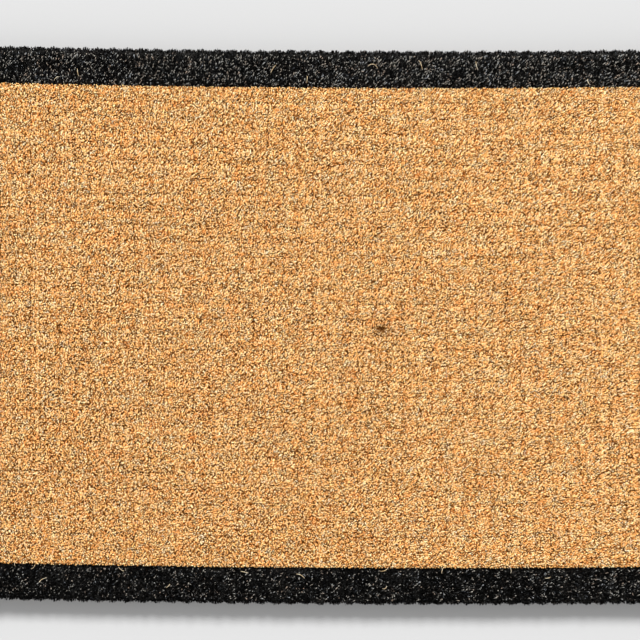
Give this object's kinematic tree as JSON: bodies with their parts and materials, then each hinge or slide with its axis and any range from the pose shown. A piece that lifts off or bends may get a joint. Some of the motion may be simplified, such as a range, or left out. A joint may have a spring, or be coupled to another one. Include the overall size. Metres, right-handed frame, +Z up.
{
  "type": "door mat",
  "caption": "Rectangular brush door mat of hand-woven coir: natural field, black brush border, yarn base, plaited and stitched edge.",
  "frame": {"origin": "on the floor, under the middle of the mat", "axes": "+X along the mat's length, +Y across it, +Z up from the floor through the brush"},
  "size_m": [0.762, 0.457, 0.032],
  "materials": {
    "natural_coir": "cut natural coir fibre, dry and matt",
    "black_coir": "cut coir fibre dyed black",
    "chain_yarn": "two-ply spun coir yarn",
    "weft_yarn": "spun coir yarn",
    "braid_coir": "three-strand plait of coir yarn",
    "stitch_twine": "thin coir twine"
  },
  "bodies": {
    "root": {"lower_chain_yarns": "chain_yarn", "upper_chain_yarns": "chain_yarn", "weft_yarn": "weft_yarn", "natural_pile": "natural_coir", "black_pile_front": "black_coir", "black_pile_back": "black_coir", "black_pile_left": "black_coir", "black_pile_right": "black_coir", "edge_braid_front": "braid_coir", "edge_braid_right": "braid_coir", "edge_braid_back": "braid_coir", "edge_braid_left": "braid_coir", "edge_stitches_front": "stitch_twine", "edge_stitches_right": "stitch_twine", "edge_stitches_back": "stitch_twine", "edge_stitches_left": "stitch_twine"}
  },
  "joints": []
}
